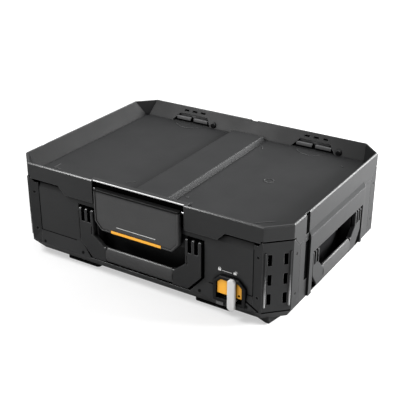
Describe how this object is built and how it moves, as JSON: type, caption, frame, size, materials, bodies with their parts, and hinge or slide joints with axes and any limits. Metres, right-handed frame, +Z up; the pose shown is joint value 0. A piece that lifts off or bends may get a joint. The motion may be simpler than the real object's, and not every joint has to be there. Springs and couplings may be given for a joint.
{
  "type": "tool box",
  "caption": "Low wide stackable tool box with a hinged lid, sunken tray top, swinging handles, front latch plate and sliding stack lock.",
  "frame": {"origin": "centre of the box's outline in plan, at the underside of its feet", "axes": "+X to the right along the longest side, seen from the front; +Y to the rear; +Z up"},
  "size_m": [0.566, 0.429, 0.185],
  "materials": {
    "shell_plastic": "fine-grained moulded black",
    "guard_plastic": "fine-grained moulded black",
    "latch_plastic": "satin moulded dark grey",
    "handle_plastic": "fine-grained moulded black",
    "grip_rubber": "matt",
    "orange_plastic": "semi-gloss",
    "grey_plastic": "satin",
    "white_inlay": "matt",
    "receiver_plastic": "satin moulded grey",
    "foot_rubber": "matt",
    "steel": "satin",
    "black_steel": "blackened satin",
    "seal_rubber": "matt"
  },
  "bodies": {
    "base_body": {"base_tub": "shell_plastic", "front_handle_cup": "shell_plastic", "front_handle_bracket_right": "shell_plastic", "front_handle_bracket_left": "shell_plastic", "right_handle_cup": "shell_plastic", "left_handle_cup": "shell_plastic", "corner_toe": "shell_plastic", "guard_screws": "black_steel", "foot_screws": "steel", "hinge_pin_left": "steel", "hinge_pin_right": "steel", "lock_frame": "guard_plastic", "lock_plate": "orange_plastic", "lock_cover": "shell_plastic", "front_handle_pin_left": "steel", "front_handle_pin_right": "steel", "right_handle_pin_front": "steel", "right_handle_pin_rear": "steel", "left_handle_pin_front": "steel", "left_handle_pin_rear": "steel", "corner_guard_front_left": "guard_plastic", "corner_guard_front_right": "guard_plastic", "corner_guard_rear_left": "guard_plastic", "corner_guard_rear_right": "guard_plastic", "foot_front_left": "foot_rubber", "foot_front_right": "foot_rubber", "foot_rear_left": "foot_rubber", "foot_rear_right": "foot_rubber"},
    "lid_body": {"lid_shell": "shell_plastic", "lid_gasket": "seal_rubber", "rear_receiver_left": "receiver_plastic", "rear_receiver_right": "receiver_plastic", "latch_pin": "steel"},
    "latch_body": {"front_latch": "latch_plastic", "latch_accent_strip": "orange_plastic", "latch_accent_line": "white_inlay"},
    "front_handle_body": {"front_handle": "handle_plastic", "front_handle_grip": "grip_rubber"},
    "right_handle_body": {"right_handle": "handle_plastic", "right_handle_grip": "grip_rubber"},
    "left_handle_body": {"left_handle": "handle_plastic", "left_handle_grip": "grip_rubber"},
    "lock_body": {"lock_lever": "grey_plastic", "lock_carriage": "shell_plastic"}
  },
  "joints": [
    {"name": "lid_hinge", "type": "hinge", "parent": "base_body", "child": "lid_body", "pos_m": [0, 0.2095, 0.153], "axis": [-1, 0, 0], "range_deg": [0, 100]},
    {"name": "latch_hinge", "type": "hinge", "parent": "lid_body", "child": "latch_body", "pos_m": [0, -0.2045, 0.169], "axis": [-1, 0, 0], "range_deg": [0, 90]},
    {"name": "front_handle_hinge", "type": "hinge", "parent": "base_body", "child": "front_handle_body", "pos_m": [0, -0.2045, 0.12096], "axis": [-1, 0, 0], "range_deg": [0, 90]},
    {"name": "right_handle_hinge", "type": "hinge", "parent": "base_body", "child": "right_handle_body", "pos_m": [0.278, 0, 0.09901], "axis": [0, -1, 0], "range_deg": [0, 90]},
    {"name": "left_handle_hinge", "type": "hinge", "parent": "base_body", "child": "left_handle_body", "pos_m": [-0.278, 0, 0.09901], "axis": [0, 1, 0], "range_deg": [0, 90]},
    {"name": "lock_slide", "type": "slide", "parent": "base_body", "child": "lock_body", "axis": [-1, 0, 0], "range_m": [0, 0.023]}
  ]
}
